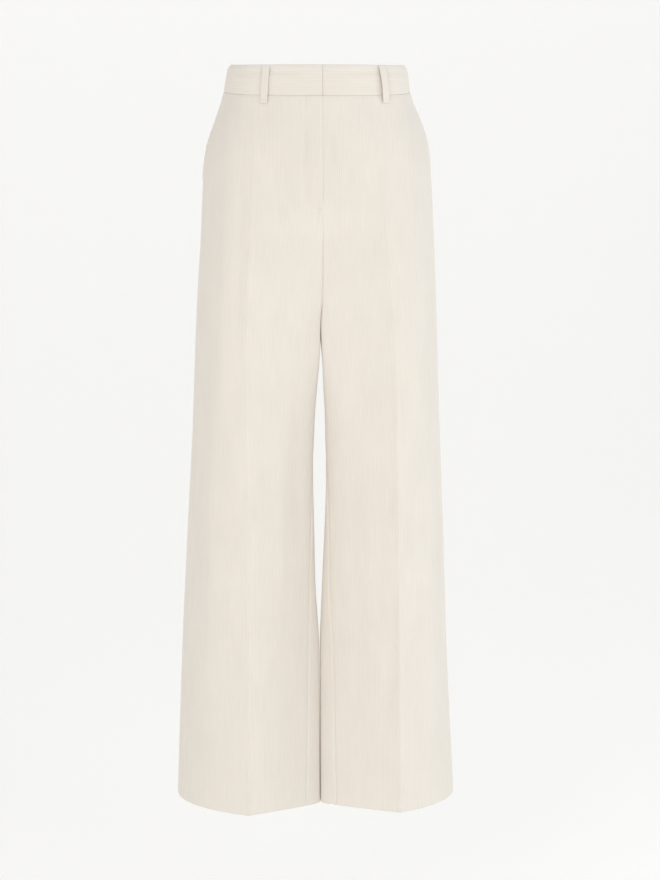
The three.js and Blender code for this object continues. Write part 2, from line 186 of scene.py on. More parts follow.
def read(rows, column, drop):
    """A curve through one column that never overshoots its rows."""
    x, y = rows["drop"], rows[column]
    rise = np.diff(y) / np.diff(x)
    before, after = rise[:-1], rise[1:]
    both = before * after
    middle = np.where(both > 0, 2 * both / np.where(both > 0, before + after, 1), 0)
    slope = np.concatenate([[rise[0]], middle, [rise[-1]]])
    at = int(np.clip(np.searchsorted(x, drop, side="right") - 1, 0, len(x) - 2))
    step = x[at + 1] - x[at]
    t = min(max((drop - x[at]) / step, 0), 1)
    return float(
        (1 + 2 * t) * (1 - t) ** 2 * y[at]
        + t * (1 - t) ** 2 * step * slope[at]
        + t * t * (3 - 2 * t) * y[at + 1]
        + t * t * (t - 1) * step * slope[at + 1]
    )


print("half width at the hips:", round(read(OUTLINE, "right", 200), 1), "mm")

# %% [markdown]
# ## From a section to a ring of cloth
# Each quarter of a ring is a Bézier arc whose handles are as long as a round arc's would be, so
# the cloth swells as evenly as it does over a body. Distances along the ring then say where a
# wale, a seam or a fold lies, because cloth keeps its width however it is bent.

# %% The arcs of a ring
SAMPLES = 220


def bezier(a, b, c, d):
    t = np.linspace(0, 1, SAMPLES)[:, None]
    return (1 - t) ** 3 * a + 3 * (1 - t) ** 2 * t * b + 3 * (1 - t) * t * t * c + t**3 * d


def handle(start, end, angle):
    turn = max(abs(angle), 0.01)
    return math.dist(start, end) * (2 / 3) * math.tan(turn / 4) / math.sin(turn / 2)


def distances(points):
    steps = np.linalg.norm(np.diff(points, axis=0), axis=1)
    return np.concatenate([[0], np.cumsum(steps)])


def turned_under(drop, facing):
    """How far back the centre line lies, how far the cloth has turned under from there and how
    deep the rounded part of that turn is."""
    rows, turn = (FRONT, FLY_BOTTOM) if facing < 0 else (BACK, SEAT_SEAM_TURN)
    centre = read(rows, "centre", drop)
    under = min(max((drop - turn) / (FORK - turn), 0), 1)
    fold = (centre - facing * read(INNER, "y", drop)) * (1 - math.sqrt(1 - under**2))
    return centre, fold, min(fold, read(INNER, "front" if facing < 0 else "back", drop))


def half_ring(side, drop, facing):
    """The stretches from the centre to the crease and on to the outermost point, with places."""
    rows = FRONT if facing < 0 else BACK
    centre, fold, depth = turned_under(drop, facing)
    folded = float(smooth(fold / FOLDED))
    x = read(INNER, side, drop)
    start = np.array([x, facing * (centre - fold)])
    turned = read(INNER, "turned", drop) if facing < 0 and side == "left" else 0
    corner = np.array([x - turned, facing * (centre - depth)])
    lean = math.radians(read(rows, "lean", drop))
    half = math.radians(read(rows, "kink", drop)) / 2
    crease = np.array([read(rows, side, drop), facing * read(rows, "depth", drop)])
    inward = np.array([-math.cos(lean - half), facing * math.sin(lean - half)])
    outward = np.array([math.cos(lean + half), -facing * math.sin(lean + half)])
    square = read(INNER, "square", drop)
    flat = handle(corner, crease, math.asin(inward[1] * facing))
    reach_in = mix(flat, square * (crease[0] - corner[0]), folded)
    start_handle = np.array([flat * (1 - folded), facing * square * depth * folded])
    outermost = np.array([read(OUTLINE, side, drop), read(OUTLINE, "y", drop)])
    reach = handle(crease, outermost, math.acos(abs(outward[1])))
    inner = bezier(corner, corner + start_handle, crease + inward * reach_in, crease)
    if math.dist(start, corner) > 0.01:
        inner = np.concatenate([np.linspace(start, corner, 12)[:-1], inner])
    outer = bezier(
        crease,
        crease + outward * reach,
        outermost + np.array([0, facing * reach]),
        outermost,
    )
    share = distances(inner) / distances(inner)[-1]
    straight = max(math.dist(start, corner) / distances(inner)[-1], LEAST_STRAIGHT)
    inner_places = np.interp(share, [0, straight, 1], [0, STRAIGHT_PLACES, 1])
    return inner, inner_places, outer, 1 + np.linspace(0, 1, SAMPLES)


# %% Whole rings
BEFORE_JUMP = 2  # millimetres
OTHER = {"right": "left", "left": "right"}
TOWARD = {"right": -1, "left": 1}
rings = {}


def ring(side, drop):
    """Points, places and lengths round a ring. Place 0 is the front centre line or the inner leg,
    1 the front crease, 2 the outermost point, 3 the back crease and 4 the centre or inner leg
    again. The ring starts at -1, across the centre line, and goes on to 5, round the inner leg."""
    if (side, drop) not in rings:
        inner, inner_places, outer, outer_places = half_ring(side, drop, -1)
        back, back_places, far, far_places = half_ring(side, drop, 1)
        across, across_places = half_ring(OTHER[side], drop, -1)[:2]
        points = np.concatenate(
            [across[::-1] * [-1, 1], inner, outer[1:], far[-2::-1], back[-2::-1], inner[1:]]
        )
        places = np.concatenate(
            [
                -across_places[::-1],
                inner_places,
                outer_places[1:],
                4 - far_places[-2::-1],
                4 - back_places[-2::-1],
                inner_places[1:] + 4,
            ]
        )
        rings[side, drop] = points, places, distances(points)
    return rings[side, drop]


def length_at(side, drop, place):
    points, places, lengths = ring(side, drop)
    return float(np.interp(place, places, lengths))


def height(drop, place):
    """The height of a place, with the dip of the waist towards the front."""
    around = np.clip(np.abs(place), 0, 4)
    edge = mix(TOP_DIP, BAND_SEAM_DIP, min(drop / BAND_HEIGHT, 1))
    front = edge * (1 - (around / 2) ** 3)
    back = -BACK_RISE * smooth((around - 2) / 2)
    fade = 1 - smooth((drop - BAND_HEIGHT) / (DIP_ENDS - BAND_HEIGHT))
    return -drop - np.where(around < 2, front, back) * fade


def cloth(side, drop, at, out=0):
    """Points and outward directions of the cloth, at distances round its ring."""
    points, places, lengths = ring(side, drop)
    slopes = np.gradient(points, axis=0)
    flat = np.stack([np.interp(at, lengths, points[:, k]) for k in (0, 1)], -1)
    # Above the fork the ring jumps at place 4, so slopes are read just before it.
    seen = np.minimum(at, np.interp(4, places, lengths) - BEFORE_JUMP) if drop < FORK else at
    along = np.stack([np.interp(seen, lengths, slopes[:, k]) for k in (0, 1)], -1)
    along /= np.linalg.norm(along, axis=-1, keepdims=True) + 1e-9
    outward = np.stack([along[..., 1], -along[..., 0], 0 * at], -1)
    z = height(drop, np.interp(at, lengths, places))
    spot = np.stack([flat[..., 0], flat[..., 1], z], -1) + outward * np.asarray(out)[..., None]
    mirror = np.array([TOWARD[side], 1, 1])
    return spot * mirror, outward * mirror


print("ring at the fork:", round(length_at("right", FORK, 4) - length_at("right", FORK, 0)), "mm")

# %% [markdown]
# ## A shell of corduroy
# Every piece starts as a flat grid, as cloth does on the cutting table. Its points are moved onto
# the form, the points past a seam are drawn back to it and merged, and solidify gives the cloth
# its thickness. Only then are the wales raised on the outer points, so that the inside stays
# plain, as the back of corduroy is. Three columns of points to a wale are enough: two on its
# flat top and one in the groove.


# %% Edges and wales
def seam_roll(distance, depth=0.9, width=1.9):
    """Cloth turns down into a seam."""
    return -depth * np.exp(-((distance / width) ** 2))


def folded_edge(distance, radius=1.2):
    """A folded edge is as round as half its thickness."""
    past = np.clip(radius - distance, 0, radius)
    return np.sqrt(radius**2 - past**2) - radius


def wales(across, edge_distance, tall=WALE_HEIGHT):
    ridge = np.abs(np.sin(math.pi * across / WALE_PITCH))
    return tall * ridge * smooth(edge_distance / 2)


def raised(folds, distances_from, drops):
    """Soft ridges, and troughs where the height is negative, each placed one by one."""
    total = 0 * drops
    for edge, at, drop, width, length, tall, slant in folds:
        across = distances_from[edge] - at - slant * (drops - drop) / 100
        along = np.abs((drops - drop) / length)
        total = total + tall * np.exp(-((across / width) ** 2) - along**3)
    return total


# %% Grid to shell
MERGED = 0.02  # points closer than this become one
SHARP = math.radians(62)  # an edge that turns further than this is drawn sharp
pieces = {}


def shell(name, spots, outward, pattern, thickness, relief=None, inner_step=None):
    """A closed shell from rows of points. Pattern holds, for each point, the distances across
    and along the wales; relief and inner_step move the outer and inner points outwards."""
    rows, columns = spots.shape[:2]
    bm = bmesh.new()
    bmesh.ops.create_grid(bm, x_segments=columns - 1, y_segments=rows - 1, size=1)
    cloth_layer = bm.verts.layers.float_vector.new("cloth")
    moves = bm.verts.layers.float_vector.new("moves")
    relief = np.zeros((rows, columns)) if relief is None else relief
    inner_step = np.zeros((rows, columns)) if inner_step is None else inner_step
    for vert in bm.verts:
        i = round((vert.co.y + 1) / 2 * (rows - 1))
        j = round((vert.co.x + 1) / 2 * (columns - 1))
        vert.co = Vector(spots[i, j]) * MM
        vert[cloth_layer] = (pattern[i, j, 0] * MM, pattern[i, j, 1] * MM, 1)
        vert[moves] = (relief[i, j], inner_step[i, j], 0)
    bmesh.ops.remove_doubles(bm, verts=bm.verts, dist=MERGED * MM)
    bm.normal_update()
    bm.verts.ensure_lookup_table()
    centre = (rows // 2, columns // 2)
    middle = min(bm.verts, key=lambda v: (v.co - Vector(spots[centre]) * MM).length)
    if middle.normal.dot(Vector(outward[centre])) < 0:
        bmesh.ops.reverse_faces(bm, faces=bm.faces)
        bm.normal_update()
    outer = list(bm.verts)
    normals = [vert.normal.copy() for vert in outer]
    bmesh.ops.solidify(bm, geom=bm.faces[:], thickness=thickness * MM)
    known = set(outer)
    bm.normal_update()
    for vert in bm.verts:
        if vert not in known:
            vert.co -= vert.normal * vert[moves].y * MM
            vert[cloth_layer].z = 0
    for vert, normal in zip(outer, normals):
        vert.co += normal * vert[moves].x * MM
    bm.verts.layers.float_vector.remove(moves)
    for face in bm.faces:
        face.smooth = True
    area = sum(face.calc_area() for face in bm.faces) / 2
    print(name, "cloth:", round(area, 4), "square metres,", len(bm.faces), "faces")
    mesh = bpy.data.meshes.new(name + "_cloth")
    bm.to_mesh(mesh)
    bm.free()
    mesh.set_sharp_from_angle(angle=SHARP)
    piece = bpy.data.objects.new(name + "_cloth", mesh)
    bpy.context.collection.objects.link(piece)
    pieces[name] = piece
    return piece


# %% [markdown]
# ## The four leg panels
# A front and a back panel make each leg. Columns are laid at equal distances from the pressed
# crease, which is the straight grain, so the wales run parallel to it and run off at the slanting
# seams as they do in cut cloth. The rows lie closer together where the crotch seam turns under.

# %% Rows and edges of the panels
ROWS = np.concatenate(
    [
        [38.15, 40, 43],
        np.arange(50, 158, 9),
        [158, 160, 163, 164.5, 168],
        np.arange(177, 297, 9.5),
        [300, 305, 309, 312, 314.5, 316, 316.8, 317, 318.5, 321, 325, 331, 339],
        np.arange(349, 1008, 10),
        [1009, 1011, 1020, 1030, 1040, 1046, 1048.6, 1049.6, 1050],
    ]
)


def side_seam(drop):
    return read(SEAMS, "side", drop)


def pocket_mouth(drop):
    down = (drop - BAND_HEIGHT) / (POCKET_BOTTOM - BAND_HEIGHT)
    return mix(POCKET_TOP_PLACE, side_seam(POCKET_BOTTOM), min(down, 1))


def fly_lap(drop):
    """1 where the right front laps over the left one, fading out above the fly's end."""
    return 1 - smooth((drop - FLY_BOTTOM) / FLY_STEP_END + 1)


def front_edges(side, drop):
    inseam = read(SEAMS, "forward", drop)
    first = length_at(side, drop, inseam) + (CLOSED if drop >= FORK else CLOSED - SEAM / 2)
    if side == "left":
        first -= FLY_UNDERLAP * fly_lap(drop)
    last = length_at(side, drop, min(pocket_mouth(drop), side_seam(drop))) - CLOSED
    return first, length_at(side, drop, 1), last


def back_edges(side, drop):
    first = length_at(side, drop, side_seam(drop)) + CLOSED
    past = read(SEAMS, "forward", drop)
    last = length_at(side, drop, 4 + past) - (CLOSED if drop >= FORK else 0)
    return first, length_at(side, drop, 3), last


# %% [markdown]
# Folds are listed one by one: where each one lies, how wide and long it is, how far it stands out
# and how it slants. "At" is measured from the crease, from the side edge, or from where the cloth
# starts to turn under at the centre.

# %% Folds of the fronts
FRONT_FOLDS = {
    "right": [
        # edge, at, drop, half width, half length, height, slant to 100 mm of drop
        ("centre", 22, 118, 5, 82, -2.0, 0),
        ("centre", 12, 110, 9, 90, 0.5, 0),
        ("centre", 16, 186, 5, 14, -0.9, -60),
        ("centre", 36, 150, 10, 60, 0.7, 0),
        ("centre", 40, 222, 8, 38, -1.7, -45),
        ("centre", 32, 168, 6, 40, 0.9, 0),
        ("crease", 15, 285, 8, 120, -2.2, -2),
        ("crease", 38, 330, 13, 150, 1.7, -1),
        ("crease", -30, 540, 10, 150, -0.9, 2),
        ("crease", -54, 640, 9, 130, 0.9, 0),
        ("crease", -78, 520, 9, 160, -0.8, -2),
        ("crease", 60, 640, 14, 180, 0.9, 3),
        ("crease", 20, 820, 12, 120, -0.8, 4),
        ("crease", -36, 900, 16, 110, -0.9, -5),
        ("side", 20, 720, 7, 170, -0.9, 1),
    ],
    "left": [
        ("centre", 15, 215, 9, 115, -2.4, 2),
        ("centre", 24, 190, 9, 80, 0.7, 4),
        ("centre", 30, 70, 12, 26, -0.6, 8),
        ("crease", 6, 175, 8, 50, 0.6, 0),
        ("crease", 30, 290, 12, 110, 0.7, -3),
        ("crease", -13, 830, 9, 130, -1.7, -9),
        ("crease", -44, 720, 12, 170, 1.4, -2),
        ("crease", -11, 560, 6, 110, -0.9, 0),
        ("crease", -70, 620, 9, 120, -0.8, 0),
        ("crease", 26, 700, 10, 150, 0.9, 2),
        ("crease", 48, 840, 12, 120, -0.8, 3),
        ("crease", 62, 520, 10, 120, -0.7, -3),
        ("crease", 30, 970, 9, 60, 0.7, 6),
    ],
}
BACK_FOLDS = {
    "right": [
        ("crease", 0, 78, 2.2, 44, -1.1, 0),
        ("centre", 30, 300, 13, 50, -1.8, 55),
        ("centre", 52, 345, 14, 60, -1.4, 45),
        ("centre", 42, 318, 9, 46, 1.1, 50),
        ("crease", 22, 420, 12, 120, 1.3, 2),
        ("crease", -24, 470, 12, 150, -1.5, 3),
        ("crease", -46, 640, 13, 170, 1.3, 0),
        ("crease", 40, 690, 12, 150, -1.2, -3),
        ("crease", 16, 860, 10, 110, -0.9, 5),
        ("crease", -30, 900, 14, 110, -1.0, -4),
        ("side", 24, 560, 9, 170, -0.8, 0),
    ],
    "left": [
        ("crease", 0, 78, 2.2, 44, -1.1, 0),
        ("centre", 26, 296, 12, 46, -1.5, 60),
        ("centre", 56, 352, 15, 66, -1.6, 40),
        ("centre", 40, 322, 9, 50, 1.2, 48),
        ("crease", -20, 440, 11, 130, 1.2, -2),
        ("crease", 26, 500, 12, 140, -1.4, -3),
        ("crease", 50, 660, 13, 150, 1.2, 2),
        ("crease", -40, 700, 13, 160, -1.3, 3),
        ("crease", -14, 880, 10, 100, -0.8, -5),
        ("crease", 34, 930, 13, 90, -0.9, 4),
        ("side", 22, 600, 9, 150, -0.8, 0),
    ],
}


# %% Build the panels
PRESSED = {
    # drops between which the pressed crease comes up to its full height of cloth
    "front_right": (95, 150),
    "front_left": (360, 430),
    "back_right": (150, 260),
    "back_left": (150, 260),
}
CREASE_RIDGE, CREASE_REACH = 1.0, 4
TOUCH = 0.5  # the two sides swell by up to this, so that they nearly touch
TOUCH_GAP = 0.95  # where each lies closer to the centre line than this
TOUCH_REACH = 9


def pressed(name, across, drops):
    """A pressed crease ends in a sharp little ridge."""
    start, full = PRESSED[name]
    rising = smooth((drops - start) / (full - start))
    return CREASE_RIDGE * np.exp(-np.abs(across) / CREASE_REACH) * rising


def lifted(name, side, spans, across, drops):
    """How far the cloth stands off its plain form, with its distances from both edges."""
    from_centre = across - (spans[:, :1] - spans[:, 1:2])
    from_side = spans[:, 2:] - spans[:, 1:2] - across
    folds, shape_edges = FRONT_FOLDS, front_shape
    if name.startswith("back"):
        from_centre, from_side = from_side, from_centre
        folds, shape_edges = BACK_FOLDS, back_shape
    facing = 1 if name.startswith("back") else -1
    turns = [turned_under(drop, facing)[1:] for drop in drops[:, 0]]
    from_corner = from_centre - np.array([[fold - depth] for fold, depth in turns])
    distance = {"crease": across, "centre": from_corner, "side": from_side}
    out = raised(folds[side], distance, drops) * smooth((from_corner + 4) / 8)
    out = out + shape_edges(side, drops, from_centre, from_side) + pressed(name, across, drops)
    gap = np.array([[read(INNER, side, drop)] for drop in drops[:, 0]])
    touching = np.clip(TOUCH_GAP - gap, 0, TOUCH) * smooth((drops - FLY_BOTTOM) / 20)
    out = out + touching * np.exp(-((from_corner / TOUCH_REACH) ** 2))
    return out, from_centre, from_side


def panel(name, side, edges):
    spans = np.array([edges(side, drop) for drop in ROWS])
    low, high = spans[:, 0] - spans[:, 1], spans[:, 2] - spans[:, 1]
    steps = np.arange(math.floor(low.min() / STEP), math.ceil(high.max() / STEP) + 1) * STEP
    across = np.clip(steps[None, :], low[:, None], high[:, None])
    drops = np.repeat(ROWS[:, None], across.shape[1], axis=1)
    out, from_centre, from_side = lifted(name, side, spans, across, drops)
    out = out + seam_roll(drops - ROWS[0]) + folded_edge(LENGTH - drops)
    rows = [cloth(side, drop, across[i] + spans[i, 1], out[i]) for i, drop in enumerate(ROWS)]
    spots, outward = (np.array(part) for part in zip(*rows))
    edge_distance = np.minimum(np.minimum(from_centre, from_side), LENGTH - drops)
    hem = smooth((drops - LENGTH + HEM_TURN_UP) / 2)
    pattern = np.stack([across, drops], -1)
    turn_up = (HEM_WALL - CLOTH) * hem * smooth((LENGTH - drops) / (HEM_WALL / 2))
    return shell(name, spots, outward, pattern, CLOTH, wales(across, edge_distance), -turn_up)


LIP, LIP_REACH, LIP_END = 1.8, 8, 6  # the pocket's mouth stands off the hip


def front_shape(side, drops, from_centre, from_side):
    step = -TOWARD[side] * FLY_STEP * np.exp(-((from_centre / FLY_REACH) ** 2)) * fly_lap(drops)
    edge = folded_edge(from_centre, 0.4) if side == "right" else 0 * drops
    centre = np.where(drops < FLY_BOTTOM, edge, seam_roll(from_centre, 0.5))
    mouth = smooth((POCKET_BOTTOM - drops) / LIP_END)
    lip = LIP * np.exp(-((from_side / LIP_REACH) ** 2)) + folded_edge(from_side, 0.9)
    return step + centre + mix(seam_roll(from_side), lip, mouth)


def back_shape(side, drops, from_centre, from_side):
    return seam_roll(from_centre) + seam_roll(from_side)


for side in ("right", "left"):
    panel("front_" + side, side, front_edges)
    panel("back_" + side, side, back_edges)

# %% [markdown]
# ## Pocket facings and the strip behind the fly
# The slanted pocket shows a facing that lies under the front's folded edge and joins the back
# at the side seam. Behind the fly lies one more strip, which keeps the opening closed.


# %% Pocket facings
FACING_WALL = 1.3
FACING_UNDER = 9  # how far it reaches in behind the mouth
FACING_DEPTH = UNDER + 0.3
FACING_RAMP = 14  # length over which it comes out level with the back


def pocket_facing(side):
    drops = ROWS[ROWS < POCKET_BOTTOM - 2]
    mouth = np.array([length_at(side, drop, pocket_mouth(drop)) for drop in drops])
    last = np.array([length_at(side, drop, side_seam(drop)) for drop in drops]) - SEAM / 2
    zero = np.array([length_at(side, drop, 1) for drop in drops])
    low, high = mouth - FACING_UNDER - zero, last - zero
    steps = np.arange(math.floor(low.min() / STEP), math.ceil(high.max() / STEP) + 1) * STEP
    across = np.clip(steps[None, :], low[:, None], high[:, None])
    grid = np.repeat(drops[:, None], across.shape[1], axis=1)
    to_side = high[:, None] - across
    rise = smooth((across + zero[:, None] - mouth[:, None]) / FACING_RAMP)
    out = -FACING_DEPTH * (1 - rise) + seam_roll(to_side)
    rows = [cloth(side, drop, across[i] + zero[i], out[i]) for i, drop in enumerate(drops)]
    spots, outward = (np.array(part) for part in zip(*rows))
    pattern = np.stack([across, grid], -1)
    edge = np.minimum(to_side, across - low[:, None])
    return shell("pocket_facing_" + side, spots, outward, pattern, FACING_WALL, wales(across, edge))


for side in ("right", "left"):
    pocket_facing(side)

# %% Strip behind the fly
SHIELD_RIGHT, SHIELD_LEFT, SHIELD_ROUND, SHIELD_END = 30, 10, 40, 198
SHIELD_NARROW = 0.45  # share of its width that is left at its lower end
SHIELD_ROW, SHIELD_COLUMNS = 5, 48


def fly_shield():
    drops = np.arange(BAND_HEIGHT + 0.5, SHIELD_END + 0.1, SHIELD_ROW)
    steps = np.arange(0, 1.001, 1 / SHIELD_COLUMNS)
    narrow = mix(1, SHIELD_NARROW, smooth((drops - SHIELD_END) / SHIELD_ROUND + 1))
    x = mix(-SHIELD_RIGHT * narrow[:, None], SHIELD_LEFT, steps[None, :])
    zero = [length_at("left", drop, 0) for drop in drops]
    out = 0 * x - (UNDER + FLY_STEP + SEAM)
    rows = [cloth("left", drop, x[i] + zero[i], out[i]) for i, drop in enumerate(drops)]
    spots, outward = (np.array(part) for part in zip(*rows))
    pattern = np.stack([x, np.repeat(drops[:, None], x.shape[1], axis=1)], -1)
    return shell("fly_shield", spots, outward, pattern, CLOTH)


fly_shield()

# %% [markdown]
# ## The waistband
# The band is cut crosswise, so its wales run round the waist. It is one strip for each half,
# folded over at the top, and the right half laps over the left at the fly. Here the rows of the
# grid are the wales, and the top edge is rounded on both sides as a fold is.

# %% Waistband halves
BAND_UNDERLAP = 32
BAND_LAP_START, BAND_LAP_RAMP = -4, 9  # where the underlap starts to come out, and over how far
BAND_ROWS = np.concatenate([[0, 0.25, 0.6], np.arange(STEP, 37, STEP), [37.3, 37.85]])
BAND_COLUMNS = 90
BAND_ROUND = 1.5
BAND_RIBS = 0.4  # its wales are pressed flatter than the panels'
BAND_SWELLS = [
    # height, drop, half width
    (-0.9, 9, 3),
    (0.6, 19, 8),
]
PLAIN_FRONT, PLAIN_BACK = 45, 170  # the swells start and end at these distances from the fly
BAND_WAVE, WAVE_LENGTHS, WAVE_FADE = 0.35, (17, 41), 10  # a slight unevenness along it
SIDE_ROLL = 4  # how far the top edge leans in at the sides
SIDE_SHARE, SIDE_REACH = 0.46, 0.16  # where, as shares of the half's length


def waistband(side):
    lap = BAND_UNDERLAP if side == "left" else 0
    spans = [[length_at(side, drop, place) for place in (0, 4)] for drop in BAND_ROWS]
    shares = np.linspace(0, 1, BAND_COLUMNS)
    first = np.array([span[0] for span in spans]) - lap
    last = np.array([span[1] for span in spans])
    across = mix(first[:, None], last[:, None], shares[None, :])
    across = across - np.array([span[0] for span in spans])[:, None]
    drops = np.repeat(BAND_ROWS[:, None], BAND_COLUMNS, axis=1)
    lapping = smooth((across - BAND_LAP_START) / BAND_LAP_RAMP)
    tucked = 1 - lapping if side == "left" else 0 * across
    out = -tucked * (BAND_WALL + 2 * SEAM)
    end = (last - first)[:, None] * (1 - shares[None, :])
    begin = (last - first)[:, None] * shares[None, :]
    out = out + seam_roll(end, 0.7, 1.5) + folded_edge(drops, BAND_ROUND)
    out = out + (folded_edge(begin, 0.6) if side == "right" else 0)
    out = out + seam_roll(BAND_ROWS[-1] - drops, 0.8, 1.4)
    swollen = smooth(np.abs(across) / PLAIN_FRONT) * np.exp(-((across / PLAIN_BACK) ** 4))
    for tall, drop, half in BAND_SWELLS:
        out = out + tall * np.exp(-(((drops - drop) / half) ** 2)) * swollen
    sides = np.exp(-(((across / (last - first)[:, None]) - SIDE_SHARE) / SIDE_REACH) ** 2)
    out = out - SIDE_ROLL * (1 - smooth((drops + 2) / 10)) * sides
    short, long = WAVE_LENGTHS
    wave = np.sin(across / short) * np.sin(across / long + 1)
    out = out + BAND_WAVE * wave * smooth(drops / WAVE_FADE)
    rows = [
        cloth(side, drop, across[i] + spans[i][0], out[i]) for i, drop in enumerate(BAND_ROWS)
    ]
    spots, outward = (np.array(part) for part in zip(*rows))
    pattern = np.stack([drops, across], -1)
    edge = np.minimum(np.minimum(drops, BAND_ROWS[-1] - drops), begin + 2 * tucked)
    ribs = wales(drops, edge, WALE_HEIGHT * BAND_RIBS)
    top = folded_edge(drops, BAND_ROUND)
    return shell("waistband_" + side, spots, outward, pattern, BAND_WALL, ribs, top)


for side in ("right", "left"):
    waistband(side)

# %% [markdown]
# ## Belt loops
# A belt loop is a narrow strip with its edges folded in. It is caught at the top of the band,
# stands off it a little, and its lower end is folded under and sewn down just below the band.

# %% Belt loops
LOOP_WIDTH = 11
LOOP_LENGTH = 49
LOOP_WALL = 1.8
LOOP_FOLD = 6  # the doubled lower end
LOOP_DOUBLED = 0.8  # which stands out by this much more
LOOP_ROWS = np.concatenate(
    [[0.5, 0.8, 1.4, 2.4, 4], np.arange(6, 41, 2.5), [42, 42.8, 43.4, 44.2, 45.5, 47, 48, 48.6, 49]]
)
LOOP_SEWN = [(0.7, 45.2), (0.5, 3)]  # depth and drop of its two rows of sewing
SEWN_HALF = 0.8
BELT_LOOPS = [
    # name, side, place, how far its middle stands off, slant
    ("front_right", "right", 0.87, 1.4, 1),
    ("front_left", "left", 1.02, 3, 5.5),
    ("back_right", "right", 2.75, 2, 0),
    ("back_left", "left", 2.75, 2, 0),
    ("centre_back", "left", 4, 2, 0),
]


def belt_loop(name, side, place, stand, slant):
    drops = LOOP_ROWS
    width = np.linspace(-0.5, 0.5, 17)
    along = (drops - drops[0]) / (drops[-1] - drops[0])
    off = SEAM + LOOP_WALL + stand * np.sin(math.pi * along) ** 0.8
    off = off + LOOP_DOUBLED * smooth((drops - (LOOP_LENGTH - LOOP_FOLD)) / 0.8)
    off = off + folded_edge(LOOP_LENGTH - drops, 0.9) + folded_edge(drops - drops[0], 0.9)
    for depth, drop in LOOP_SEWN:
        off = off - depth * np.exp(-(((drops - drop) / SEWN_HALF) ** 2))
    zero = length_at(side, BAND_HEIGHT / 2, place)
    out = cloth(side, BAND_HEIGHT / 2, np.array([zero - LOOP_WIDTH / 4]))[1]
    across = np.cross(out[0], [0, 0, 1]) * -TOWARD[side]
    edge = LOOP_WIDTH * (0.5 - np.abs(width))
    spots, outward = [], []
    for i, drop in enumerate(drops):
        base, _ = cloth(side, drop, np.array([length_at(side, drop, place)]))
        sideways = LOOP_WIDTH * width + slant * (along[i] - 0.5)
        lift = off[i] + folded_edge(edge, 1.1)
        spots.append(base[0] + across * sideways[:, None] + out[0] * lift[:, None])
        outward.append(np.repeat(out, len(width), axis=0))
    pattern = np.stack(np.meshgrid(LOOP_WIDTH * width, drops), -1)
    ribs = 0.8 * wales(pattern[..., 0], np.repeat(edge[None, :], len(drops), axis=0))
    wall = LOOP_WALL - 0.3
    return shell("belt_loop_" + name, np.array(spots), np.array(outward), pattern, wall, ribs)


for row in BELT_LOOPS:
    belt_loop(*row)
print("pieces:", ", ".join(pieces))

# %% [markdown]
# ## Sewing that shows
# The fly is held by a line of stitches that runs down and curves to the centre seam, where a bar
# tack closes it. A bar tack also closes the lower end of each pocket. A stitch is a short rounded
# bar half sunk in the pile.

# %% Stitches
THREAD = 0.24
STITCH, STITCH_GAP = 2.3, 0.9
FLY_STITCH_FROM_EDGE = 21.5
FLY_CURVE_START, FLY_CURVE_END = 176, 199.5  # drops between which the line curves in
TACK_HEIGHT, TACK_SPACING, TACK_SLANT = 1.7, 0.55, 0.3
STITCH_LIFT = WALE_HEIGHT * 0.8  # how far above the plain cloth a stitch lies
TACKS = [
    # side, edge, from and to its distances, drop
    ("right", "centre", 1.2, 9, 198.5),
    ("right", "side", 1, 6, 161),
    ("left", "side", 1, 6, 161),
]


def on_front(side, edge, distance, drop):
    """A point on the outside of a front panel."""
    first, crease, last = front_edges(side, drop)
    at = first + distance if edge == "centre" else last - distance
    spans, across = np.array([[first, crease, last]]), np.array([[at - crease]])
    out = lifted("front_" + side, side, spans, across, np.array([[drop]]))[0]
    spot = cloth(side, drop, np.array([at]), out[0] + STITCH_LIFT)[0][0]
    return Vector(spot) * MM


def fly_line():
    """Distances from the centre and drops, all the way down the fly's row of stitches."""
    turn = np.linspace(0, math.pi / 2, 12)
    deep = FLY_CURVE_END - FLY_CURVE_START
    straight = np.linspace(BAND_HEIGHT + 1, FLY_CURVE_START, 30)
    line = [(FLY_STITCH_FROM_EDGE, drop) for drop in straight]
    for angle in turn[1:]:
        line.append((FLY_STITCH_FROM_EDGE * math.cos(angle), FLY_CURVE_START + deep * math.sin(angle)))
    return np.array(line)


def stitch(bm, start, end):
    turn = (end - start).to_track_quat("Z", "Y").to_matrix().to_4x4()
    size = Matrix.Diagonal((THREAD * MM, THREAD * MM, (end - start).length / 2, 1))
    place = Matrix.Translation((start + end) / 2) @ turn @ size
    bmesh.ops.create_icosphere(bm, subdivisions=2, radius=1, matrix=place)


def stitches():
    bm = bmesh.new()
    line = fly_line()
    along = distances(line)
    for start in np.arange(0.5, along[-1] - STITCH, STITCH + STITCH_GAP):
        ends = [
            on_front("right", "centre", *(float(np.interp(spot, along, line[:, k])) for k in (0, 1)))
            for spot in (start, start + STITCH)
        ]
        stitch(bm, *ends)
    for side, edge, near, far, drop in TACKS:
        for distance in np.arange(near, far, TACK_SPACING):
            above = on_front(side, edge, distance, drop - TACK_HEIGHT / 2)
            stitch(bm, above, on_front(side, edge, distance + TACK_SLANT, drop + TACK_HEIGHT / 2))
    for face in bm.faces:
        face.smooth = True
    mesh = bpy.data.meshes.new("stitches")
    bm.to_mesh(mesh)
    bm.free()
    sewn = bpy.data.objects.new("stitches", mesh)
    bpy.context.collection.objects.link(sewn)
    print("stitches:", len(mesh.polygons), "faces")
    return sewn


sewn = stitches()

# %% [markdown]
# ## Corduroy as a material
# The wales are real ridges, so the material only adds what is finer: darker grooves, where less
# light falls on the base of the pile, streaks where the pile was brushed one way or the other,
# and the down of single fibres. Each piece carries an attribute that says where a point lies
# across and along its wales, so the pattern follows the cloth round every fold.


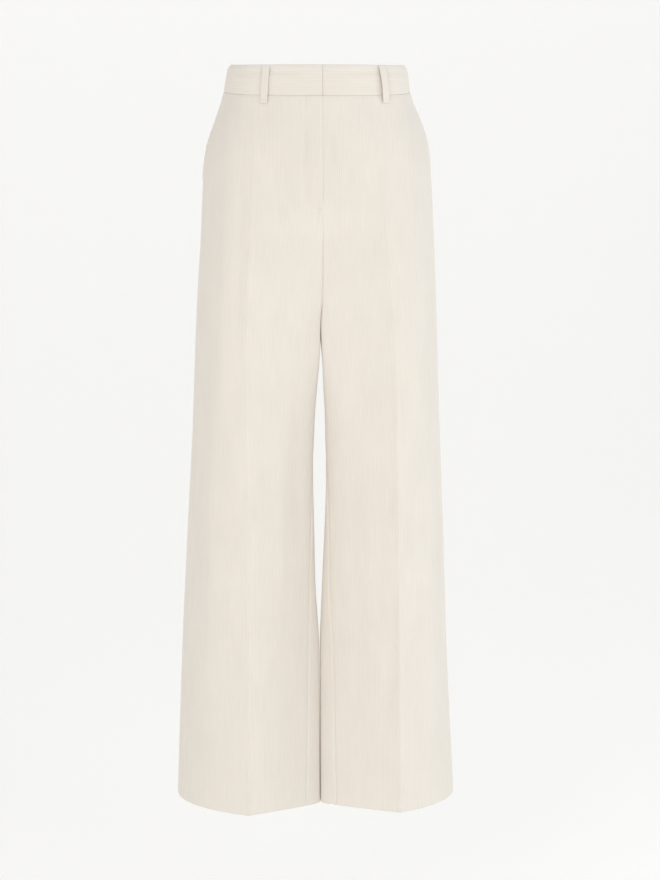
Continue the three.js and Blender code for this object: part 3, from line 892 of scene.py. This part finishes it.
# %% A node group for the pile
STREAKS, PATCHES, DOWN = (360, 22, 1), (26, 12, 1), (2600, 900, 1)  # a metre across and along


def pile_group():
    group = bpy.data.node_groups.new("corduroy_pile", "ShaderNodeTree")
    face = group.interface
    for name, kind, value in (
        ("Cloth", "NodeSocketVector", None),
        ("Pile", "NodeSocketColor", (0.8, 0.76, 0.7, 1)),
        ("Groove", "NodeSocketColor", (0.5, 0.46, 0.4, 1)),
        ("Wales per metre", "NodeSocketFloat", 1000 / WALE_PITCH),
        ("Groove share", "NodeSocketFloat", 0.4),
        ("Lay", "NodeSocketFloat", 0.1),
    ):
        socket = face.new_socket(name, in_out="INPUT", socket_type=kind)
        if value is not None:
            socket.default_value = value
    face.new_socket("Colour", in_out="OUTPUT", socket_type="NodeSocketColor")
    face.new_socket("Down", in_out="OUTPUT", socket_type="NodeSocketFloat")
    nodes, links = group.nodes, group.links
    source, result = nodes.new("NodeGroupInput"), nodes.new("NodeGroupOutput")

    def node(kind, **settings):
        made = nodes.new("ShaderNode" + kind)
        for key, value in settings.items():
            setattr(made, key, value)
        return made

    def math_node(operation, first, second=0.0):
        made = node("Math", operation=operation)
        for socket, value in zip(made.inputs, (first, second)):
            if isinstance(value, (int, float)):
                socket.default_value = value
            else:
                links.new(value, socket)
        return made.outputs[0]

    def noise(scale, detail):
        stretch = node("Mapping")
        stretch.inputs["Scale"].default_value = scale
        links.new(source.outputs["Cloth"], stretch.inputs["Vector"])
        made = node("TexNoise")
        made.inputs["Scale"].default_value = 1
        made.inputs["Detail"].default_value = detail
        links.new(stretch.outputs[0], made.inputs["Vector"])
        return made.outputs["Fac"]

    split = node("SeparateXYZ")
    links.new(source.outputs["Cloth"], split.inputs[0])
    turns = math_node("MULTIPLY", split.outputs["X"], source.outputs["Wales per metre"])
    wave = math_node("SINE", math_node("MULTIPLY", turns, math.pi))
    ridge = math_node("ABSOLUTE", wave)
    depth = node("MapRange", interpolation_type="SMOOTHSTEP")
    links.new(ridge, depth.inputs["Value"])
    depth.inputs["From Min"].default_value = 0
    depth.inputs["To Min"].default_value = 1
    depth.inputs["To Max"].default_value = 0
    links.new(source.outputs["Groove share"], depth.inputs["From Max"])
    shown = math_node("MULTIPLY", depth.outputs[0], split.outputs["Z"])
    colour = node("Mix", data_type="RGBA")
    links.new(shown, colour.inputs["Factor"])
    links.new(source.outputs["Pile"], colour.inputs[6])
    links.new(source.outputs["Groove"], colour.inputs[7])
    streaks = math_node("SUBTRACT", noise(STREAKS, 3), 0.5)
    patches = math_node("SUBTRACT", noise(PATCHES, 2), 0.5)
    lay = math_node("ADD", streaks, patches)
    level = math_node("ADD", math_node("MULTIPLY", lay, source.outputs["Lay"]), 1)
    shade = node("VectorMath", operation="SCALE")
    links.new(colour.outputs[2], shade.inputs[0])
    links.new(level, shade.inputs["Scale"])
    links.new(shade.outputs[0], result.inputs["Colour"])
    links.new(noise(DOWN, 2), result.inputs["Down"])
    return group


pile = pile_group()


# %% The corduroy
def corduroy(name, colour, groove, lay):
    material = bpy.data.materials.new(name)
    material.use_nodes = True
    nodes, links = material.node_tree.nodes, material.node_tree.links
    shader = nodes["Principled BSDF"]
    where = nodes.new("ShaderNodeAttribute")
    where.attribute_name = "cloth"
    cloth_nodes = nodes.new("ShaderNodeGroup")
    cloth_nodes.node_tree = pile
    cloth_nodes.inputs["Pile"].default_value = (*colour, 1)
    cloth_nodes.inputs["Groove"].default_value = (*groove, 1)
    cloth_nodes.inputs["Lay"].default_value = lay
    bump = nodes.new("ShaderNodeBump")
    bump.inputs["Strength"].default_value = 0.35
    bump.inputs["Distance"].default_value = 0.0003
    links.new(where.outputs["Vector"], cloth_nodes.inputs["Cloth"])
    links.new(cloth_nodes.outputs["Colour"], shader.inputs["Base Color"])
    links.new(cloth_nodes.outputs["Down"], bump.inputs["Height"])
    links.new(bump.outputs[0], shader.inputs["Normal"])
    shader.inputs["Roughness"].default_value = 0.92
    shader.inputs["Specular IOR Level"].default_value = 0.18
    shader.inputs["Sheen Weight"].default_value = 0.28
    shader.inputs["Sheen Roughness"].default_value = 0.45
    shader.inputs["Sheen Tint"].default_value = (1, 0.97, 0.93, 1)
    return material


ivory = corduroy("ivory_corduroy", (0.80, 0.752, 0.685), (0.725, 0.67, 0.598), 0.08)
for piece in pieces.values():
    piece.data.materials.append(ivory)


# %% Thread
def twist_group():
    group = bpy.data.node_groups.new("thread_twist", "ShaderNodeTree")
    face = group.interface
    turns = face.new_socket("Turns per metre", in_out="INPUT", socket_type="NodeSocketFloat")
    turns.default_value = 2600
    face.new_socket("Twist", in_out="OUTPUT", socket_type="NodeSocketFloat")
    nodes, links = group.nodes, group.links
    source, result = nodes.new("NodeGroupInput"), nodes.new("NodeGroupOutput")
    place = nodes.new("ShaderNodeTexCoord")
    wave = nodes.new("ShaderNodeTexWave")
    wave.bands_direction = "DIAGONAL"
    links.new(place.outputs["Object"], wave.inputs["Vector"])
    links.new(source.outputs["Turns per metre"], wave.inputs["Scale"])
    links.new(wave.outputs["Fac"], result.inputs["Twist"])
    return group


def thread(name, lit, shaded):
    material = bpy.data.materials.new(name)
    material.use_nodes = True
    nodes, links = material.node_tree.nodes, material.node_tree.links
    shader = nodes["Principled BSDF"]
    twist = nodes.new("ShaderNodeGroup")
    twist.node_tree = twist_group()
    colour = nodes.new("ShaderNodeMix")
    colour.data_type = "RGBA"
    colour.inputs[6].default_value = (*shaded, 1)
    colour.inputs[7].default_value = (*lit, 1)
    bump = nodes.new("ShaderNodeBump")
    bump.inputs["Strength"].default_value = 0.4
    bump.inputs["Distance"].default_value = 0.0001
    links.new(twist.outputs["Twist"], colour.inputs["Factor"])
    links.new(twist.outputs["Twist"], bump.inputs["Height"])
    links.new(colour.outputs[2], shader.inputs["Base Color"])
    links.new(bump.outputs[0], shader.inputs["Normal"])
    shader.inputs["Roughness"].default_value = 0.6
    shader.inputs["Sheen Weight"].default_value = 0.2
    return material


sewn.data.materials.append(thread("ivory_thread", (0.80, 0.752, 0.685), (0.725, 0.665, 0.59)))

# %% [markdown]
# ## What each piece stands for
# Each shell stands for the solid of the same name, which is hidden, and moves with the one body.

for name, piece in pieces.items():
    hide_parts(name)
    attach(piece, "root")

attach(sewn, "root")

# %% [markdown]
# ## Floor, light and camera
# A pale floor rises into a backdrop, large soft lights stand in front and to the wearer's left,
# and the camera looks from just below the waist, a little from the wearer's right.

# %% Floor and backdrop
FLOOR_LEVEL = -1.30
FLOOR_FRONT, FLOOR_HALF_WIDTH = -6, 9
FLAT_SHARE, BEND_SHARE = 0.45, 0.3  # shares of the strip that lie flat and that bend up
FLAT_LENGTH, BEND_RADIUS, WALL_LENGTH = 22, 2, 24  # the two lengths are for a whole strip
NEUTRAL = (1, 0.995, 0.985, 1)


def backdrop():
    bm = bmesh.new()
    bmesh.ops.create_grid(bm, x_segments=1, y_segments=40, size=1)
    for vert in bm.verts:
        along = (vert.co.y + 1) / 2
        bend = min(max((along - FLAT_SHARE) / BEND_SHARE, 0), 1) * math.pi / 2
        rest = max(along - FLAT_SHARE - BEND_SHARE, 0)
        y = FLOOR_FRONT + min(along, FLAT_SHARE) * FLAT_LENGTH + BEND_RADIUS * math.sin(bend)
        z = FLOOR_LEVEL + BEND_RADIUS * (1 - math.cos(bend)) + rest * WALL_LENGTH
        vert.co = (vert.co.x * FLOOR_HALF_WIDTH, y, z)
    bmesh.ops.recalc_face_normals(bm, faces=bm.faces)
    for face in bm.faces:
        face.smooth = True
    mesh = bpy.data.meshes.new("floor")
    bm.to_mesh(mesh)
    bm.free()
    material = bpy.data.materials.new("pale_floor")
    material.use_nodes = True
    shader = material.node_tree.nodes["Principled BSDF"]
    shader.inputs["Base Color"].default_value = (0.9, 0.9, 0.89, 1)
    shader.inputs["Roughness"].default_value = 0.9
    shader.inputs["Emission Color"].default_value = NEUTRAL
    shader.inputs["Emission Strength"].default_value = 0.19
    mesh.materials.append(material)
    ground = bpy.data.objects.new("floor", mesh)
    bpy.context.collection.objects.link(ground)


backdrop()

# %% Lights
scene = bpy.context.scene
scene.view_settings.view_transform = "Standard"
world = bpy.data.worlds.new("studio")
world.use_nodes = True
sky = world.node_tree.nodes["Background"]
sky.inputs["Color"].default_value = NEUTRAL
sky.inputs["Strength"].default_value = 0.69
scene.world = world
lit_spot = Vector((0, 0, -0.5))


def softbox(name, spot, size, power, colour):
    light = bpy.data.lights.new(name, "AREA")
    light.shape = "RECTANGLE"
    light.size, light.size_y = size
    light.energy = power
    light.color = colour
    lamp = bpy.data.objects.new(name, light)
    bpy.context.collection.objects.link(lamp)
    lamp.location = spot
    lamp.rotation_euler = (lit_spot - Vector(spot)).to_track_quat("-Z", "Y").to_euler()


softbox("side", (3.6, -0.2, 0.2), (1.2, 2.4), 26, (0.88, 0.95, 1))
softbox("fill", (1.9, -3.6, 0.2), (1.6, 2.2), 17, (0.95, 0.98, 1))
softbox("front", (-1.9, -3.8, 0.2), (1.6, 2.2), 35, (1, 0.97, 0.95))

# %% Camera
CAMERA_YAW = math.radians(-4.5)
CAMERA_DISTANCE = 3.5
CAMERA_HEIGHT = -0.10
SENSOR = 36
PHOTO_WIDTH, PHOTO_HEIGHT = 660, 880
METRES_PER_PIXEL = 1.4219 * MM
centre_column, centre_row = 317.4, 435.3
aside = Vector((math.cos(CAMERA_YAW), math.sin(CAMERA_YAW), 0))
aside *= (PHOTO_WIDTH / 2 - centre_column) * METRES_PER_PIXEL
lower = (PHOTO_HEIGHT / 2 - centre_row) * METRES_PER_PIXEL
target = Vector((0, 0, -LENGTH / 2 * MM - lower)) + aside
lens = bpy.data.cameras.new("camera")
lens.sensor_width = SENSOR
lens.lens = SENSOR * CAMERA_DISTANCE / METRES_PER_PIXEL / PHOTO_HEIGHT
camera = bpy.data.objects.new("camera", lens)
bpy.context.collection.objects.link(camera)
camera.location = aside + Vector(
    (
        math.sin(CAMERA_YAW) * CAMERA_DISTANCE,
        -math.cos(CAMERA_YAW) * CAMERA_DISTANCE,
        CAMERA_HEIGHT - lower,
    )
)
camera.rotation_euler = (target - camera.location).to_track_quat("-Z", "Y").to_euler()
scene.camera = camera
